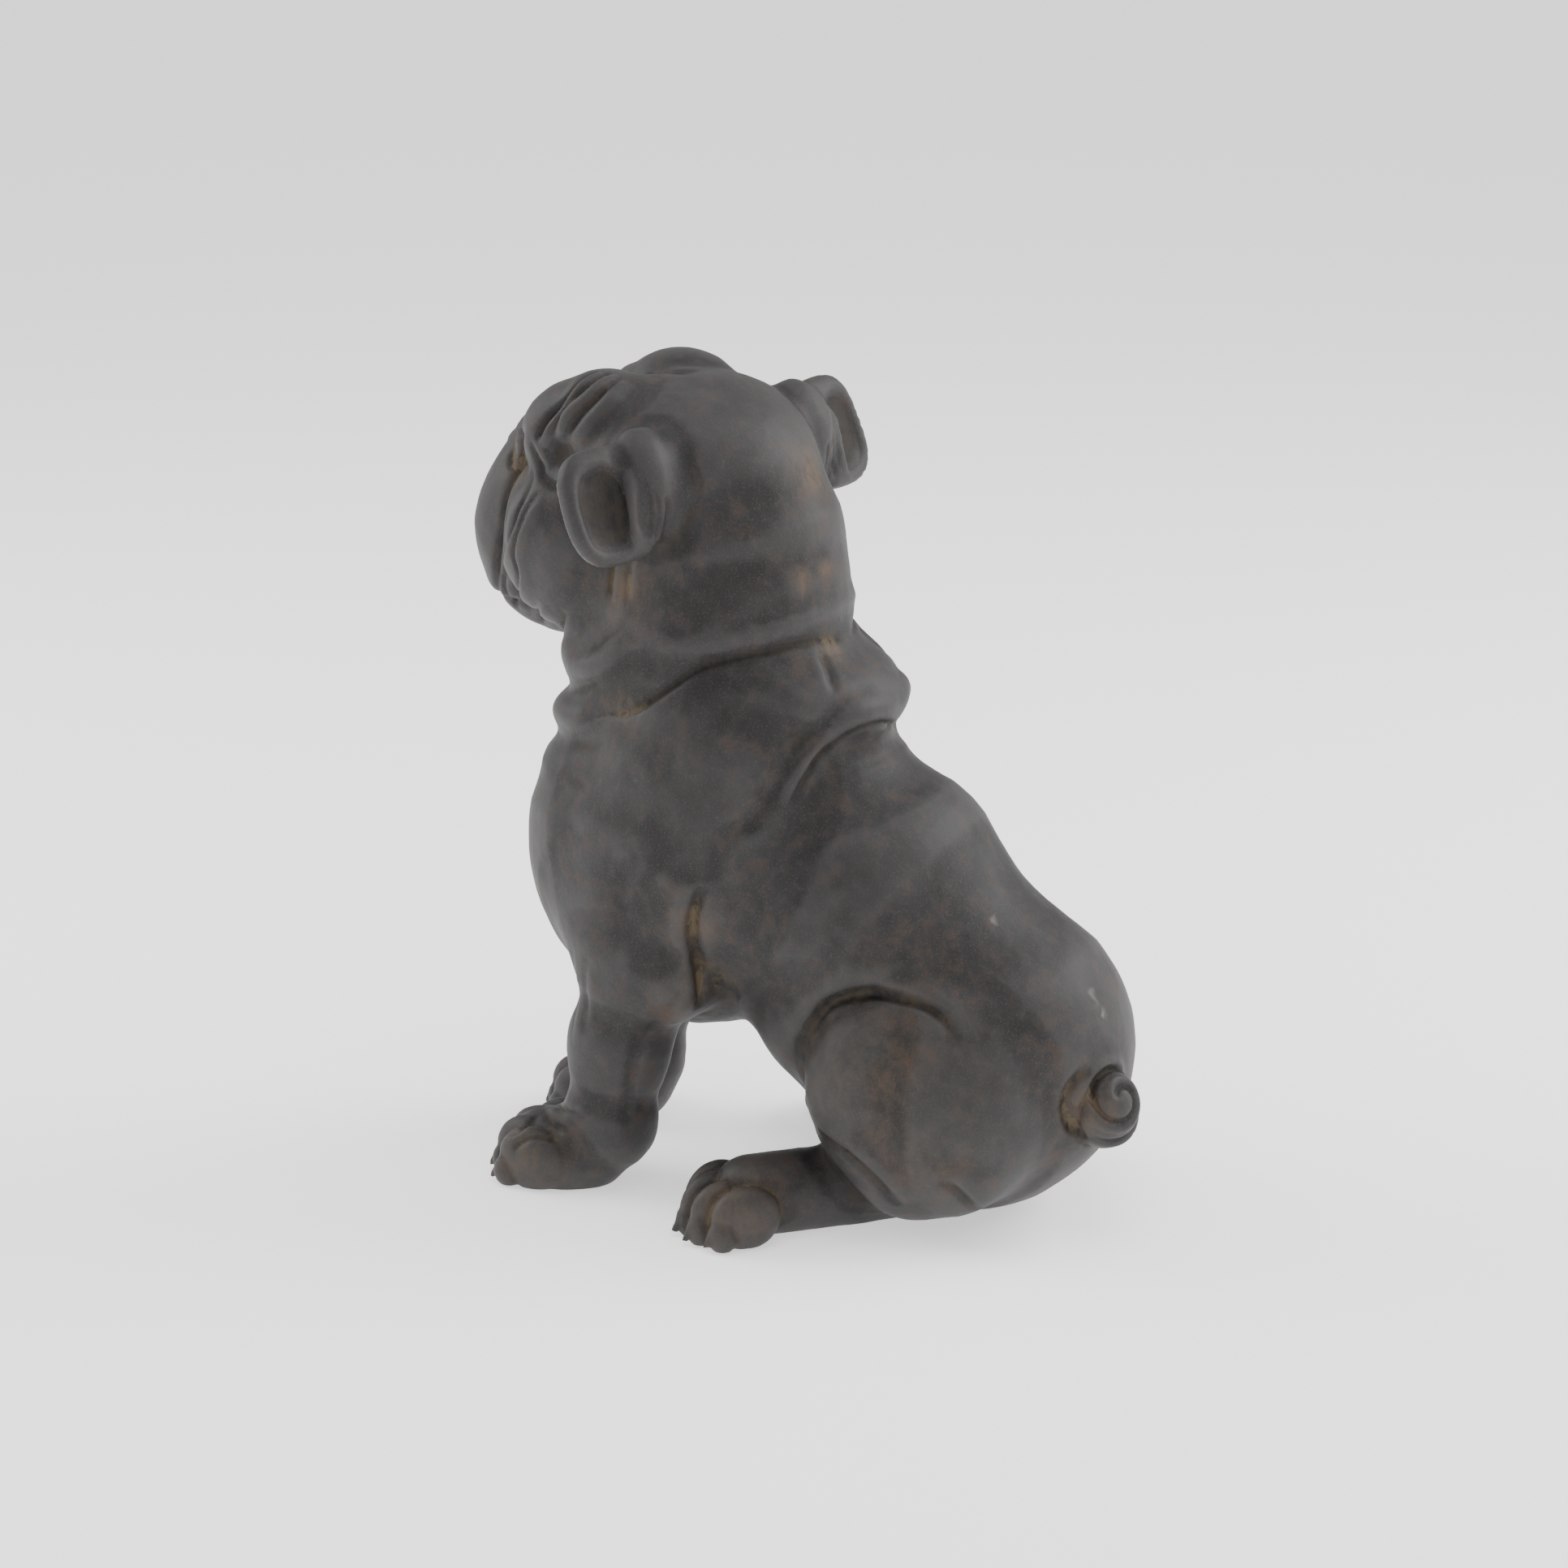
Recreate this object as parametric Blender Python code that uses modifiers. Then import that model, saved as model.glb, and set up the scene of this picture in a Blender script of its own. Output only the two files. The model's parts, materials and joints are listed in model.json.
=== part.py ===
"""A sitting bulldog, a garden statue cast in one piece, as one closed solid.

The dog faces -Y, its left side is +X and it stands on z = 0. The pose and the proportions are
shares of HEIGHT: every place and radius below is in hundredths of the statue's height.
The figure is a set of named masses that flow into each other. Folds are rolls and creases that
run along curves on the skin.
"""

from dataclasses import dataclass, replace

import bmesh
import bpy
import numpy as np
from mathutils import Euler, Matrix

# Driving sizes, in metres
HEIGHT = 0.500
SKIN_GRID = 0.0048

# Count of triangles of the finished solid
FACE_BUDGET = 9400

# Pose of the head: its pivot in hundredths of the height, and its turns in degrees
HEAD_PIVOT = (0.0, -11.0, 84.0)
HEAD_YAW = -18.0
HEAD_ROLL = 4.0
HEAD_NOD = 0.0

# Hind feet: the left heel's place, and the spread from straight ahead in degrees
HIND_HEEL = (6.4, 17.5, 3.6)
HIND_SPLAY = 45.0

# Right foreleg and paw from the left ones' mirror images: how far they stand inwards and ahead
FORELEG_STAGGER = (1.5, -5.9, 0.0)
FOREPAW_STAGGER = (1.5, -3.0, 0.0)

# Tail: the curl's centre, the way its spiral faces, and the spiral's turns and steps
TAIL_CENTRE = (5.5, 42.2, 15.5)
TAIL_FACING = (0.45, 0.70, 0.55)
TAIL_TURNS = 1.75
TAIL_STEPS = 20

# How often the skin is drawn onto the blended form, the step for its slope, and how many widths
# a fold reaches to each side
FIT_ROUNDS = 6
SLOPE_STEP = 0.05
FOLD_REACH = 3.5

# Finish of the cast
CAST_COLOUR = (0.060, 0.054, 0.051, 1.0)
CAST_ROUGHNESS = 0.55
CAST_METALLIC = 0.0

HUNDREDTH = HEIGHT / 100.0


def turn_matrix(degrees):
    """Rotation matrix of turns about X, Y and Z in degrees."""
    return np.array(Euler(np.radians(degrees), "XYZ").to_matrix())


@dataclass
class Lump:
    """An egg-shaped mass: centre, three radii, turns in degrees, and how softly it joins.

    A power above 2 squares its sides, and a hollow one is taken out of the rest.
    """

    centre: tuple
    radii: tuple
    turn: tuple = (0.0, 0.0, 0.0)
    blend: float = 3.0
    power: float = 2.0
    hollow: bool = False

    def distance(self, points):
        """Approximate distance of points from the egg's surface."""
        radii = np.array(self.radii)
        share = np.abs((points - np.array(self.centre)) @ turn_matrix(self.turn)) / radii
        share = np.maximum(share, 1e-4)
        near = np.sum(share**self.power, axis=1) ** (1.0 / self.power)
        slope = np.linalg.norm((share / near[:, None]) ** (self.power - 1.0) / radii, axis=1)
        return (near - 1.0) / slope

    def moved(self, turn, pivot):
        """The same mass carried by a turning part of the body."""
        spin = turn_matrix(turn)
        centre = spin @ np.array(self.centre) + np.array(pivot)
        facing = (spin @ turn_matrix(self.turn)).tolist()
        angles = np.degrees(np.array(matrix_angles(facing)))
        return replace(self, centre=tuple(centre), turn=tuple(angles))

    def mirrored(self):
        """The same mass on the dog's other side."""
        x, y, z = self.centre
        tilt, lean, yaw = self.turn
        return replace(self, centre=(-x, y, z), turn=(tilt, -lean, -yaw))

    def add_to(self, mesh):
        """Add the egg to a mesh of loose masses."""
        ball = bmesh.ops.create_icosphere(mesh, subdivisions=3, radius=1.0)
        corners = ball["verts"]
        unit = np.array([corner.co[:] for corner in corners])
        placed = (unit * np.array(self.radii)) @ turn_matrix(self.turn).T + np.array(self.centre)
        for corner, place in zip(corners, placed):
            corner.co = place


@dataclass
class Limb:
    """A tapered round mass between two points."""

    start: tuple
    end: tuple
    start_radius: float
    end_radius: float
    blend: float = 3.0
    hollow: bool = False

    def distance(self, points):
        """Distance of points from the limb's surface."""
        start = np.array(self.start)
        along = np.array(self.end) - start
        share = np.clip((points - start) @ along / (along @ along), 0.0, 1.0)
        radius = self.start_radius + (self.end_radius - self.start_radius) * share
        return np.linalg.norm(points - start - share[:, None] * along, axis=1) - radius

    def moved(self, turn, pivot):
        """The same limb carried by a turning part of the body."""
        spin = turn_matrix(turn)
        start = spin @ np.array(self.start) + np.array(pivot)
        end = spin @ np.array(self.end) + np.array(pivot)
        return replace(self, start=tuple(start), end=tuple(end))

    def mirrored(self):
        """The same limb on the dog's other side."""
        flip = np.array((-1.0, 1.0, 1.0))
        start = tuple(np.array(self.start) * flip)
        end = tuple(np.array(self.end) * flip)
        return replace(self, start=start, end=end)

    def add_to(self, mesh):
        """Add a row of balls along the limb to a mesh of loose masses."""
        start = np.array(self.start)
        along = np.array(self.end) - start
        least = min(self.start_radius, self.end_radius)
        steps = max(2, int(np.linalg.norm(along) / (0.4 * least)) + 1)
        for share in np.linspace(0.0, 1.0, steps):
            radius = self.start_radius + (self.end_radius - self.start_radius) * share
            Lump(tuple(start + share * along), (radius, radius, radius)).add_to(mesh)


@dataclass
class Fold:
    """A fold of skin along a curve: a raised roll when height is positive, a crease when not."""

    points: tuple
    height: float
    width: float

    def moved(self, turn, pivot):
        """The same fold carried by a turning part of the body."""
        spin = turn_matrix(turn)
        points = tuple(tuple(spin @ np.array(point) + np.array(pivot)) for point in self.points)
        return replace(self, points=points)

    def mirrored(self):
        """The same fold on the dog's other side."""
        return replace(self, points=tuple((-x, y, z) for x, y, z in self.points))

    def laid_on(self, form):
        """The fold's curve on the surface of a form."""
        return settle(smooth_path(self.points), form)

    def relief(self, places, path):
        """How far the skin stands out at the given places, for a fold along the path."""
        reach = FOLD_REACH * self.width
        low, high = path.min(axis=0) - reach, path.max(axis=0) + reach
        near = np.all((places > low) & (places < high), axis=1)
        away = distance_to_path(places[near], path)
        lift = np.zeros(len(places))
        lift[near] = self.height * np.exp(-((away / self.width) ** 2))
        return lift


def matrix_angles(rows):
    """Turns about X, Y and Z of a rotation matrix."""
    return tuple(Matrix(rows).to_euler("XYZ"))


def smooth_path(points, steps=6):
    """A smooth curve through a few points."""
    knots = np.array(points, dtype=float)
    padded = np.vstack([2 * knots[0] - knots[1], knots, 2 * knots[-1] - knots[-2]])
    path = []
    for index in range(len(knots) - 1):
        before, first, second, after = padded[index:index + 4]
        for step in range(steps):
            t = step / steps
            path.append(0.5 * (2 * first + (second - before) * t
                               + (2 * before - 5 * first + 4 * second - after) * t**2
                               + (3 * first - before - 3 * second + after) * t**3))
    path.append(knots[-1])
    return np.array(path)


def distance_to_path(places, path):
    """Shortest distance of each place from a chain of points."""
    best = np.full(len(places), np.inf)
    for start, end in zip(path[:-1], path[1:]):
        along = end - start
        share = np.clip((places - start) @ along / max(along @ along, 1e-9), 0.0, 1.0)
        away = np.linalg.norm(places - start - share[:, None] * along, axis=1)
        best = np.minimum(best, away)
    return best


def blended(masses, points):
    """Distance of points from all masses, flowing softly into each other, less the hollow ones."""
    total = masses[0].distance(points)
    for mass in sorted(masses[1:], key=lambda mass: mass.hollow):
        side = -1.0 if mass.hollow else 1.0
        total = total * side
        other = mass.distance(points)
        mix = np.maximum(mass.blend - np.abs(total - other), 0.0) / mass.blend
        total = (np.minimum(total, other) - mix**2 * mass.blend * 0.25) * side
    return total


def slope_of(form, places):
    """Gradient of a form at the given places."""
    steps = np.eye(3) * SLOPE_STEP
    sides = [form(places + step) - form(places - step) for step in steps]
    return np.stack(sides, axis=1) / (2 * SLOPE_STEP)


def settle(places, form, rounds=4):
    """Move places onto the surface of a form."""
    for _ in range(rounds):
        slope = slope_of(form, places)
        length = np.maximum(np.sum(slope**2, axis=1), 0.05)
        step = form(places) / length
        places = places - np.clip(step, -1.5, 1.5)[:, None] * slope
    return places


def both(pieces):
    """Masses or folds of the left side together with their mirror images."""
    return pieces + [piece.mirrored() for piece in pieces]


def stepped(masses, offset):
    """Masses of the left side as the right ones, mirrored and moved by an offset."""
    return [mass.mirrored().moved((0.0, 0.0, 0.0), offset) for mass in masses]


def torso():
    """Chest, barrel, rump, withers and belly."""
    return [
        Lump((0, -9.2, 40.5), (19.5, 22.3, 22.5), (0, 0, 0), 3),
        Lump((0, 11, 35), (19, 17.3, 21.5), (38, 0, 0), 10),
        Lump((0, 23.5, 19), (19.5, 20, 19.5), (10, 0, 0), 8),
        Lump((0, -4, 56), (17, 17.5, 11.5), (0, 0, 0), 8),
        Lump((0, 11, 25), (17.5, 13.5, 13), (0, 0, 0), 4),
    ]


def neck():
    """The thick neck between the withers and the skull, with its rolls of skin."""
    return [
        Limb((0, -7.5, 60), (0, -8, 77), 17, 15, 6),
        Lump((0, -14, 52.4), (15, 16, 3.8), (8, 0, 0), 2),
        Lump((0, -14.5, 58), (14.8, 15.3, 3.6), (8, 0, 0), 2),
        Lump((0, -13.5, 63.8), (14, 15, 4.8), (4, 0, 0), 3),
        Lump((0, -1, 62.5), (15, 15.8, 4.2), (-8, 0, 0), 2.5),
    ]


def shoulder():
    """Left shoulder and upper arm."""
    return [
        Lump((13, -6, 46), (8, 12, 16), (-10, 0, 0), 6),
        Lump((13, -13, 32), (6.5, 9, 11), (10, 0, 0), 5),
        Lump((13, -7.5, 27.5), (6, 4.5, 5), (0, 0, 0), 3),
    ]


def foreleg():
    """Left foreleg from the elbow to the wrist."""
    return [
        Limb((12, -12.5, 29), (12, -16, 18), 7.2, 5.9, 4),
        Limb((12, -16, 18), (12, -17.5, 7.5), 5.9, 5.4, 4),
        Limb((12, -17.5, 7.5), (12, -20.5, 4), 5.4, 5.4, 3),
    ]


def forepaw():
    """Left forepaw: pad and four toes."""
    masses = [Lump((12, -24, 3.2), (7.0, 7.2, 5.2), (0, 0, 0), 3)]
    for across, reach in ((-5.2, -1.6), (-1.8, 0.0), (1.8, 0.0), (5.2, -1.8)):
        masses.append(Lump((12 + across, -27.2 - reach, 3.4), (2.3, 4.6, 4.0), (0, 0, -across), 1))
    return masses


def thigh():
    """Left thigh, knee and shank."""
    return [
        Lump((13.5, 23, 16), (8.5, 14, 14), (0, 0, 0), 4),
        Lump((15.5, 17, 20.5), (7.0, 7.0, 9.0), (-25, 0, 0), 2.5),
        Limb((16, 17, 17), (12, 21, 7), 6.6, 5.5, 3),
    ]


def hind_foot():
    """Left hind foot, splayed outwards from under the thigh, with four toes."""
    heel = np.array(HIND_HEEL)
    spin = turn_matrix((0.0, 0.0, HIND_SPLAY))
    masses = [Limb(tuple(heel), tuple(heel + spin @ np.array((0, -19, 0.6))), 5.2, 4.8, 3)]
    for across, reach in ((-4.8, -1.8), (-1.6, 0.0), (1.6, 0.0), (4.5, -1.4)):
        place = heel + spin @ np.array((across, -23.0 - reach, -0.4))
        masses.append(Lump(tuple(place), (2.2, 4.4, 3.8), (0, 0, HIND_SPLAY - across), 1))
    return masses


def tail():
    """The short tail, curled up against the rump."""
    return [
        Lump(TAIL_CENTRE, (4.4, 4.0, 4.6), (0, 0, 0), 1.2),
        Lump((1.5, 39.5, 14.0), (4.5, 4.0, 4.0), (0, 0, 0), 2.0),
    ]


def tail_spiral():
    """The groove of the curl, winding out from the middle of its outer side."""
    facing = np.array(TAIL_FACING) / np.linalg.norm(TAIL_FACING)
    across = np.cross(facing, (0.0, 0.0, 1.0))
    across /= np.linalg.norm(across)
    upward = np.cross(across, facing)
    points = []
    for share in np.linspace(0.0, 1.0, TAIL_STEPS):
        around = 2.0 * np.pi * TAIL_TURNS * share
        spread = np.radians(12.0 + 68.0 * share)
        ring = np.cos(around) * across + np.sin(around) * upward
        points.append(tuple(np.array(TAIL_CENTRE) + 4.3 * (np.sin(spread) * ring + np.cos(spread) * facing)))
    return Fold(tuple(points), -0.8, 0.8)


def skull():
    """Skull, brows, cheeks, muzzle and jaw, from the head's pivot, facing -Y."""
    middle = [
        Lump((0, -0.8, 2.5), (15, 15.2, 10.5), (0, 0, 0), 4),
        Lump((0, -19, -3.4), (10.5, 9.3, 11), (0, 0, 0), 4),
        Lump((0, -17, -15.6), (9, 11, 5.6), (0, 0, 0), 2.5),
        Lump((0, -25.6, 1.2), (4.2, 2.6, 2.8), (0, 0, 0), 0.8),
    ]
    left = [
        Lump((6.2, -6.8, 7.2), (6.8, 8.5, 6.5), (0, 0, 0), 1.6),
        Lump((7, -12.5, 6), (6.5, 5.3, 5.8), (0, 0, 0), 2.0),
        Lump((10, -10, -7), (7.5, 9, 9.5), (0, 0, 0), 2.5),
        Lump((5.5, -21.4, -8), (6, 8, 10.2), (0, 0, 0), 1.2),
        Lump((7.6, -17.3, 3.4), (2.4, 2.0, 2.0), (0, 0, 0), 0.4),
    ]
    return middle + both(left)


def ear():
    """Left ear from the head's pivot: its root, the flap that stands out, and the dish in it."""
    return [
        Lump((13.5, 4.6, 3.0), (5.0, 4.0, 6.5), (10, 0, 0), 2.5),
        Lump((19.6, 4.3, 2.1), (6.2, 2.0, 6.7), (20, 0, -8), 1.2, 3.5),
        Lump((20.6, 6.5, 2.6), (3.7, 2.0, 4.6), (20, 0, -8), 0.8, 2.5, True),
        Limb((17.0, 6.6, 6.0), (17.6, 8.2, -1.5), 0.9, 0.9, 1.0),
    ]


def head_folds():
    """Wrinkles of the brow, the groove beside the muzzle and the line of the mouth."""
    left = [
        Fold(((3, -7.5, 13), (6.5, -9.5, 12.3), (9.5, -11, 10.5), (12, -12.5, 7.5)), -0.7, 1.0),
        Fold(((8.5, -17.5, 7), (13.5, -14, 5.5), (12, -17.5, 1), (10.8, -20, -3.5),
              (10.7, -21.7, -10.5)), -0.9, 1.1),
        Fold(((0.3, -29, -3), (0.8, -29, -7), (3, -28.5, -10.5), (7, -26, -13), (10.5, -21, -14.5),
              (11.5, -16, -13.5)), -0.9, 1.1),
    ]
    middle = [Fold(((0, 0, 13.2), (0, -6, 13.4), (0, -11, 12.5), (0, -16, 9)), -0.8, 1.0)]
    return middle + both(left)


def on_neck(piece):
    """A mass or a fold of the head, turned and set on the neck."""
    return piece.moved((HEAD_NOD, HEAD_ROLL, HEAD_YAW), HEAD_PIVOT)


def figure():
    """Every mass of the dog."""
    left = shoulder() + foreleg() + forepaw()
    right = stepped(shoulder() + foreleg(), FORELEG_STAGGER) + stepped(forepaw(), FOREPAW_STAGGER)
    rear = both(thigh() + hind_foot())
    head = [on_neck(mass) for mass in skull() + both(ear())]
    return torso() + neck() + left + right + rear + tail() + head


def folds():
    """Folds and creases of the skin."""
    left = [
        Fold(((13, -21, 58.5), (15.5, -16.5, 59), (17.5, -11.5, 60.5), (17, -8, 63), (16, -4, 66),
              (14.5, -0.5, 67), (12, 3, 67.5), (8, 6.5, 68)), -0.9, 1.3),
        Fold(((16.5, -3, 68.5), (14.5, 1, 70), (11, 5, 70.8), (6, 8, 71)), 0.8, 1.9),
        Fold(((0, 14, 59.5), (4.5, 12.5, 61), (10, 10.5, 60.5), (13.5, 8.5, 58), (16.5, 6, 54),
              (18.5, 4, 49.5), (20, 1.5, 46), (20.5, -1.5, 41.5), (20.5, -3.5, 36.5), (19, -3.5, 30)),
             -0.8, 1.3),
        Fold(((0, 16.5, 56.5), (4.5, 14.5, 58), (9, 12, 57.5), (12.5, 10, 55), (15, 8.5, 51.5)), -0.6, 1.2),
        Fold(((17, 10.5, 26.5), (18, 12.5, 28.5), (18.5, 15.5, 30.3), (18.5, 19, 30.8), (18.5, 22.5, 30.3),
              (18.5, 25.5, 29), (19, 29, 26)), -0.9, 1.3),
        Fold(((21, 13, 14.5), (21.5, 16.5, 11.5), (20.5, 20, 8.5), (19, 22.5, 5)), -0.6, 1.3),
    ]
    return both(left) + [tail_spiral()] + [on_neck(fold) for fold in head_folds()]


def skin_form(masses, creases):
    """The finished form as a function of places: masses with their folds."""
    def bare(places):
        return blended(masses, places)

    paths = [fold.laid_on(bare) for fold in creases]

    def form(places):
        relief = np.zeros(len(places))
        for fold, path in zip(creases, paths):
            relief += fold.relief(places, path)
        return bare(places) - relief

    return form


def rough_mesh(masses):
    """All masses as loose closed shapes in one mesh, in metres."""
    mesh = bmesh.new()
    for mass in masses:
        if not mass.hollow:
            mass.add_to(mesh)
    bmesh.ops.scale(mesh, vec=(HUNDREDTH,) * 3, verts=mesh.verts)
    data = bpy.data.meshes.new("bulldog")
    mesh.to_mesh(data)
    mesh.free()
    return data


def apply_modifier(thing, kind, **settings):
    """Run one modifier and keep its result as the object's mesh."""
    modifier = thing.modifiers.new(kind, kind)
    for name, value in settings.items():
        setattr(modifier, name, value)
    view = bpy.context.evaluated_depsgraph_get()
    result = bpy.data.meshes.new_from_object(thing.evaluated_get(view))
    thing.modifiers.remove(modifier)
    thing.data = result


def fit_skin(thing, form):
    """Draw every vertex of the object onto the form."""
    count = len(thing.data.vertices)
    flat = np.empty(count * 3, dtype=np.float32)
    thing.data.vertices.foreach_get("co", flat)
    places = flat.reshape(count, 3).astype(float) / HUNDREDTH
    places = settle(places, form, FIT_ROUNDS)
    thing.data.vertices.foreach_set("co", (places * HUNDREDTH).astype(np.float32).ravel())
    thing.data.update()


def cut_flat(thing):
    """Cut the underside flat, so that the feet and the rump rest on one plane."""
    mesh = bmesh.new()
    mesh.from_mesh(thing.data)
    everything = mesh.verts[:] + mesh.edges[:] + mesh.faces[:]
    bmesh.ops.bisect_plane(mesh, geom=everything, dist=1e-6, plane_co=(0, 0, 0),
                           plane_no=(0, 0, 1), clear_inner=True)
    rims = [edge for edge in mesh.edges if edge.is_boundary]
    bmesh.ops.holes_fill(mesh, edges=rims, sides=0)
    bmesh.ops.triangulate(mesh, faces=mesh.faces[:])
    bmesh.ops.recalc_face_normals(mesh, faces=mesh.faces[:])
    mesh.to_mesh(thing.data)
    mesh.free()


def stand_on_origin(thing):
    """Move the figure so that the origin lies on the ground under the middle of its outline."""
    corners = [corner.co.copy() for corner in thing.data.vertices]
    for axis in (0, 1):
        middle = 0.5 * (min(place[axis] for place in corners) + max(place[axis] for place in corners))
        for corner in thing.data.vertices:
            corner.co[axis] -= middle


def cast_material():
    """Dark satin finish of the cast."""
    material = bpy.data.materials.new("dark_cast")
    material.use_nodes = True
    shader = material.node_tree.nodes["Principled BSDF"]
    shader.inputs["Base Color"].default_value = CAST_COLOUR
    shader.inputs["Roughness"].default_value = CAST_ROUGHNESS
    shader.inputs["Metallic"].default_value = CAST_METALLIC
    material.diffuse_color = CAST_COLOUR
    return material


def build():
    """Model the statue in an empty scene."""
    for thing in list(bpy.data.objects):
        bpy.data.objects.remove(thing)
    collection = bpy.data.collections.new("bulldog_statue")
    bpy.context.scene.collection.children.link(collection)
    masses = figure()
    statue = bpy.data.objects.new("bulldog", rough_mesh(masses))
    collection.objects.link(statue)
    apply_modifier(statue, "REMESH", mode="VOXEL", voxel_size=SKIN_GRID)
    fit_skin(statue, skin_form(masses, folds()))
    share = FACE_BUDGET / (2 * len(statue.data.polygons))
    apply_modifier(statue, "DECIMATE", ratio=share)
    cut_flat(statue)
    stand_on_origin(statue)
    statue.data.materials.append(cast_material())
    statue.data.shade_smooth()
    return statue


build()
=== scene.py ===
"""Dresses the garden statue of a sitting bulldog and sets it in a plain studio.

The statue is one casting, so the finished piece is one closed mesh. It is built the way a sculptor
works in clay: round masses are set up and run together, the skin is drawn over them, folds and
creases are pressed in along curves, and the underside is cut flat. All places and radii of the
figure are in hundredths of its height. The dog faces -Y and its left side is +X. Lines and spots of
the side that the photograph shows are given by their pixels there, and laid on the form from the
camera's place.
"""

from __future__ import annotations

import json
import logging
import math
from dataclasses import dataclass, field, replace
from enum import Enum

import bpy
import numpy as np
from mathutils import Euler, Matrix, Vector, noise

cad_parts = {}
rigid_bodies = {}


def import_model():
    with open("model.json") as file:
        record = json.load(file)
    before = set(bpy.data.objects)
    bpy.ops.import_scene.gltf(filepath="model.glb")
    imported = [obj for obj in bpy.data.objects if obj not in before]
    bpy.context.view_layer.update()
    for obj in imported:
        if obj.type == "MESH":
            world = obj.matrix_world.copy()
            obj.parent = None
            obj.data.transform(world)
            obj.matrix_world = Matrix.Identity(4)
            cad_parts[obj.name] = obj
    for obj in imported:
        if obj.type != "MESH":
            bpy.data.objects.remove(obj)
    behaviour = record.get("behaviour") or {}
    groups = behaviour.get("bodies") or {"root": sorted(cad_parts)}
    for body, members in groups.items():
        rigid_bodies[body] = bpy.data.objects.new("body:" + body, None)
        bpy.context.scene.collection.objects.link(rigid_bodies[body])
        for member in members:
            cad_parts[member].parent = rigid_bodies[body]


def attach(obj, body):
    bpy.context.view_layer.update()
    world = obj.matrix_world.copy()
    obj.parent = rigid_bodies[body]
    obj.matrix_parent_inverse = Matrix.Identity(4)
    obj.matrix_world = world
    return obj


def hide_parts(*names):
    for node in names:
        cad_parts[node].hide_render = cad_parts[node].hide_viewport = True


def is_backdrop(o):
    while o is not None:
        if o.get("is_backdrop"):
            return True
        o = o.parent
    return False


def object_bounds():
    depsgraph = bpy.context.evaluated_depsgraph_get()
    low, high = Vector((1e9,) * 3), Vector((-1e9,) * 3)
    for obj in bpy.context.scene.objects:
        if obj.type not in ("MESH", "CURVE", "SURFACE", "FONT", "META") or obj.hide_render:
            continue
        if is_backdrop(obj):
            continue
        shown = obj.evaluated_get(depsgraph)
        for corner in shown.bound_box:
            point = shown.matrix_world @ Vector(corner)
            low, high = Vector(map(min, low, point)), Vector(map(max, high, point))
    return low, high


LOG = logging.getLogger("bulldog_statue")

HEIGHT = 0.500
HUNDREDTH = HEIGHT / 100.0

Place = tuple[float, float, float]
Pixel = tuple[float, float]
Array = np.ndarray

PHOTO_SIZE = 1932.0
SENSOR_WIDTH = 36.0

# Lines that are drawn in the photograph, in its own pixels from the upper left corner.
WITHERS_ROLL = ((1112, 869), (1069, 854), (1032, 876), (996, 909), (960, 960), (930, 1010),
                (900, 1032), (868, 1093))
WITHERS_CREASE = ((1120, 894), (1087, 889), (1051, 898), (1014, 923), (989, 960), (972, 1000))
NECK_CREASE = ((700, 895), (742, 881), (778, 876), (814, 854), (862, 822), (905, 810),
               (945, 803), (982, 794), (1025, 787), (1045, 786))
NECK_ROLL = ((887, 785), (920, 770), (960, 757), (1000, 742), (1032, 729))
NECK_KNOT = ((1011, 800), (1022, 825), (1029, 855))
THROAT_UPPER = ((690, 812), (715, 806), (735, 797), (765, 772), (784, 750))
THROAT_LOWER = ((686, 858), (715, 850), (745, 836), (784, 812), (810, 795))
ARMPIT = ((866, 1093), (855, 1120), (852, 1150), (858, 1180), (862, 1210), (858, 1245))
SHOULDER_FRONT = ((782, 1051), (768, 1090), (766, 1137))
SHOULDER_REAR = ((823, 1040), (800, 1085), (792, 1130))
ELBOW_LINE = ((850, 1215), (832, 1232), (806, 1262), (784, 1300), (775, 1351), (774, 1400))
TENDON_FRONT = ((704, 1163), (706, 1220), (704, 1290))
TENDON_REAR = ((722, 1170), (722, 1230), (718, 1300))
WRIST_LOWER = ((666, 1365), (682, 1385), (700, 1398))
WRIST_UPPER = ((680, 1355), (700, 1372), (722, 1380))
TOE_LINE_FRONT = ((664, 1372), (640, 1392), (620, 1402))
TOE_LINE_REAR = ((690, 1405), (655, 1402), (628, 1420))
KNEE_ARC = ((984, 1303), (1003, 1262), (1019, 1240), (1045, 1228), (1082, 1225), (1119, 1233),
            (1145, 1242), (1163, 1255), (1182, 1289))
SHANK_LINE = ((1008, 1392), (1045, 1425), (1082, 1459), (1111, 1488))
BASE_LINE = ((1160, 1455), (1185, 1473), (1211, 1492))
TAIL_RIM = ((1345, 1320), (1325, 1335), (1316, 1360), (1322, 1388), (1340, 1405))
FOREHEAD_FRONT = ((737, 456), (700, 487), (675, 515), (660, 545))
FOREHEAD_MIDDLE = ((754, 458), (720, 482), (695, 508), (680, 538))
FOREHEAD_REAR = ((768, 464), (738, 490), (714, 515), (700, 542))
BROW_EDGE = ((653, 540), (665, 571), (680, 597), (693, 612))
MUZZLE_GROOVE = ((648, 524), (642, 560), (628, 600), (618, 650), (611, 700), (622, 740))
CHEEK_FRONT = ((656, 575), (640, 625), (625, 665), (622, 710), (641, 752))
CHEEK_REAR = ((665, 605), (645, 640), (634, 680), (638, 715), (652, 756))
CHIN_FRONT = ((663, 742), (668, 772))
CHIN_REAR = ((698, 752), (692, 775), (688, 789))

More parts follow.
